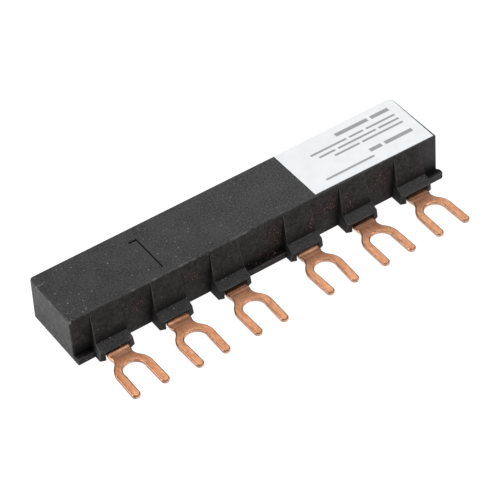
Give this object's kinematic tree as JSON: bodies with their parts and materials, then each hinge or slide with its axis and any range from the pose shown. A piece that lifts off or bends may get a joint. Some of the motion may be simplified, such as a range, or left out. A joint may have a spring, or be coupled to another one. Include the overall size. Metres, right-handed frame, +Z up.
{
  "type": "bus bar",
  "caption": "Insulated comb bus bar: black moulded housing with stacked copper bars whose hooded fork tags link the terminals of neighbouring breakers.",
  "frame": {"origin": "on the underside of the base cover, below the centre of the housing's top", "axes": "+X along the bar towards the label, -Y the way the forks point, +Z up from the base to the label"},
  "size_m": [0.0884, 0.0325, 0.0105],
  "materials": {
    "housing_plastic": "fine matt mould texture, lightly dusty",
    "cover_plastic": "matt",
    "separator_plastic": "matt",
    "copper": "bare stamped copper, satin, slightly tarnished at the necks",
    "label": "smooth white film with plain grey bars"
  },
  "bodies": {
    "root": {"housing": "housing_plastic", "base_cover": "cover_plastic", "bar_l1": "copper", "bar_l2": "copper", "bar_l3": "copper", "separator_upper": "separator_plastic", "separator_lower": "separator_plastic", "rating_label": "label"}
  },
  "joints": []
}
